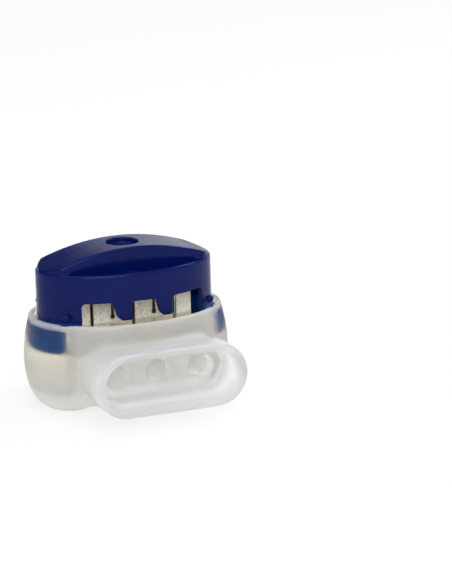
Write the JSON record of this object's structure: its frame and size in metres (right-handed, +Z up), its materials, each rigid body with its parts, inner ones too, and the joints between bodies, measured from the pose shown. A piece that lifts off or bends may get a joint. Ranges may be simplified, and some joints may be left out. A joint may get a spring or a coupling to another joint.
{
  "type": "insulation displacement wire connector",
  "caption": "Gel filled press cap connector that joins small insulated wires: translucent body with a flared wire mouth, blue cap and slotted metal contact.",
  "frame": {"origin": "on the surface it stands on, under the middle of its length and width", "axes": "+Z up through the cap, against the way it is pressed; -Y out of the wire mouth; +X to the right seen from the mouth"},
  "size_m": [0.0308, 0.0338, 0.0239],
  "materials": {
    "body": "translucent natural polypropylene, satin",
    "cap": "navy polypropylene, smooth",
    "contact": "tin plated",
    "gel": "clear soft sealing gel"
  },
  "bodies": {
    "housing": {"body": "body", "sealant_gel": "gel"},
    "plunger": {"cap": "cap", "contact": "contact"}
  },
  "joints": [
    {"name": "cap_press", "type": "slide", "parent": "housing", "child": "plunger", "axis": [0, 0, -1], "range_m": [0, 0.0055], "deforming": ["sealant_gel"]}
  ]
}
